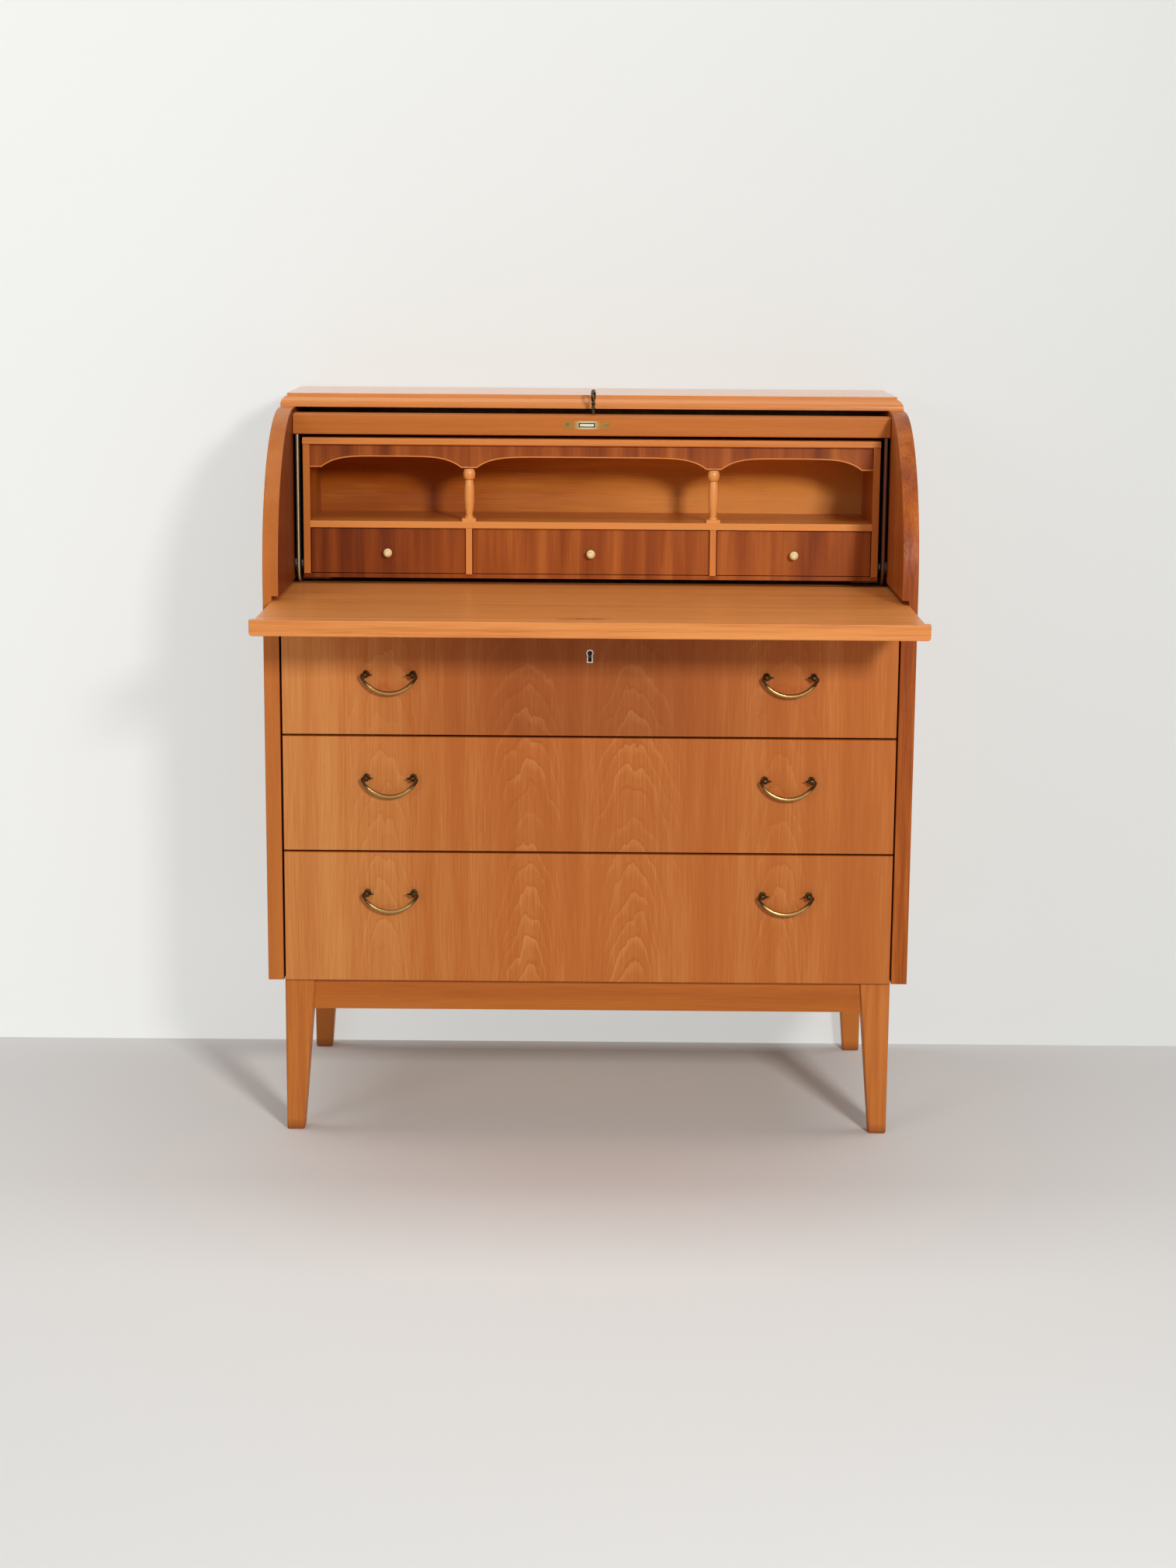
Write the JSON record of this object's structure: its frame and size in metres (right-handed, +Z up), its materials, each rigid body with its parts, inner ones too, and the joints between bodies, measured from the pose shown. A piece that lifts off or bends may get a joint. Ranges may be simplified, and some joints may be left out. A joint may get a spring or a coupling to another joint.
{
  "type": "roll top secretary desk",
  "caption": "Secretary desk with a turning cylinder front, sliding writing board, gallery of pigeonholes and small drawers, and full-width drawers on tapered legs.",
  "frame": {"origin": "centre of the desk's footprint with the writing board out, on the floor", "axes": "+X to the right as seen from the front, +Y towards the back, +Z up"},
  "size_m": [0.9, 0.656, 1.04],
  "materials": {
    "veneer": "satin lacquered",
    "mahogany": "gloss lacquered",
    "beech": "raw",
    "plywood": "raw",
    "brass": "aged",
    "nickel": "polished",
    "bronze": "dark aged",
    "steel": "plain",
    "cream": "gloss"
  },
  "bodies": {
    "desk": {"left_side_panel": "veneer", "right_side_panel": "veneer", "top_board": "veneer", "carcass_bottom": "veneer", "back_panel": "plywood", "writing_rail": "veneer", "drawer_runners": "beech", "front_legs": "veneer", "rear_legs": "veneer", "base_cross_rails": "veneer", "base_side_rails": "veneer", "base_screws": "steel", "roll_pivot_pins": "steel", "gallery_bearers": "beech", "gallery_bottom": "veneer", "gallery_sides": "veneer", "gallery_top": "veneer", "gallery_shelf": "veneer", "gallery_dividers": "veneer", "gallery_back": "veneer", "gallery_apron": "mahogany", "gallery_columns": "veneer"},
    "board": {"writing_board": "veneer", "board_front_strip": "veneer", "board_stop_pins": "beech"},
    "roll": {"roll_panel": "veneer", "lock_rail": "veneer", "tail_rail": "beech", "roll_arms": "plywood", "roll_lock": "brass", "roll_lock_screws": "brass"},
    "roll_bolt": {"roll_lock_bolt": "nickel"},
    "key": {"roll_key": "bronze"},
    "lower_drawer": {"lower_drawer_front": "veneer", "lower_drawer_box": "beech", "lower_handle_posts": "brass"},
    "lower_left_bail": {"lower_left_bail": "brass"},
    "lower_right_bail": {"lower_right_bail": "brass"},
    "middle_drawer": {"middle_drawer_front": "veneer", "middle_drawer_box": "beech", "middle_handle_posts": "brass"},
    "middle_left_bail": {"middle_left_bail": "brass"},
    "middle_right_bail": {"middle_right_bail": "brass"},
    "upper_drawer": {"upper_drawer_front": "veneer", "upper_drawer_box": "beech", "upper_handle_posts": "brass", "drawer_escutcheon": "nickel", "drawer_lock": "steel"},
    "upper_left_bail": {"upper_left_bail": "brass"},
    "upper_right_bail": {"upper_right_bail": "brass"},
    "left_small_drawer": {"left_small_drawer_front": "mahogany", "left_small_drawer_box": "beech", "left_small_drawer_knob": "cream"},
    "middle_small_drawer": {"middle_small_drawer_front": "mahogany", "middle_small_drawer_box": "beech", "middle_small_drawer_knob": "cream"},
    "right_small_drawer": {"right_small_drawer_front": "mahogany", "right_small_drawer_box": "beech", "right_small_drawer_knob": "cream"},
    "drawer_bolt": {"drawer_lock_bolt": "nickel"}
  },
  "joints": [
    {"name": "lower_drawer_slide", "type": "slide", "parent": "desk", "child": "lower_drawer", "axis": [0, -1, 0], "range_m": [0, 0.3]},
    {"name": "lower_left_bail_swing", "type": "hinge", "parent": "lower_drawer", "child": "lower_left_bail", "pos_m": [-0.2765, -0.138, 0.3505], "axis": [-1, 0, 0], "range_deg": [0, 95]},
    {"name": "lower_right_bail_swing", "type": "hinge", "parent": "lower_drawer", "child": "lower_right_bail", "pos_m": [0.2765, -0.138, 0.3505], "axis": [-1, 0, 0], "range_deg": [0, 95]},
    {"name": "middle_drawer_slide", "type": "slide", "parent": "desk", "child": "middle_drawer", "axis": [0, -1, 0], "range_m": [0, 0.3]},
    {"name": "middle_left_bail_swing", "type": "hinge", "parent": "middle_drawer", "child": "middle_left_bail", "pos_m": [-0.2765, -0.138, 0.515], "axis": [-1, 0, 0], "range_deg": [0, 95]},
    {"name": "middle_right_bail_swing", "type": "hinge", "parent": "middle_drawer", "child": "middle_right_bail", "pos_m": [0.2765, -0.138, 0.515], "axis": [-1, 0, 0], "range_deg": [0, 95]},
    {"name": "upper_drawer_slide", "type": "slide", "parent": "desk", "child": "upper_drawer", "axis": [0, -1, 0], "range_m": [0, 0.3]},
    {"name": "upper_left_bail_swing", "type": "hinge", "parent": "upper_drawer", "child": "upper_left_bail", "pos_m": [-0.2765, -0.138, 0.66], "axis": [-1, 0, 0], "range_deg": [0, 95]},
    {"name": "upper_right_bail_swing", "type": "hinge", "parent": "upper_drawer", "child": "upper_right_bail", "pos_m": [0.2765, -0.138, 0.66], "axis": [-1, 0, 0], "range_deg": [0, 95]},
    {"name": "left_small_drawer_slide", "type": "slide", "parent": "desk", "child": "left_small_drawer", "axis": [0, -1, 0], "range_m": [0, 0.11]},
    {"name": "middle_small_drawer_slide", "type": "slide", "parent": "desk", "child": "middle_small_drawer", "axis": [0, -1, 0], "range_m": [0, 0.11]},
    {"name": "right_small_drawer_slide", "type": "slide", "parent": "desk", "child": "right_small_drawer", "axis": [0, -1, 0], "range_m": [0, 0.11]},
    {"name": "board_slide", "type": "slide", "parent": "desk", "child": "board", "axis": [0, -1, 0], "range_m": [-0.187, 0]},
    {"name": "roll_hinge", "type": "hinge", "parent": "desk", "child": "roll", "pos_m": [0, 0.098, 0.7865], "axis": [-1, 0, 0], "range_deg": [-90, 0]},
    {"name": "key_turn", "type": "hinge", "parent": "roll", "child": "key", "pos_m": [0.002, 0.095, 1.0165], "axis": [0, 0, 1], "range_deg": [0, 180]},
    {"name": "roll_bolt_slide", "type": "slide", "parent": "roll", "child": "roll_bolt", "axis": [0, -1, 0], "range_m": [0, 0.008]},
    {"name": "drawer_bolt_slide", "type": "slide", "parent": "upper_drawer", "child": "drawer_bolt", "axis": [0, 0, 1], "range_m": [0, 0.007]}
  ],
  "couplings": [
    {"joint": "roll_bolt_slide", "follows": "key_turn", "m_per_rad": 0.002546}
  ]
}
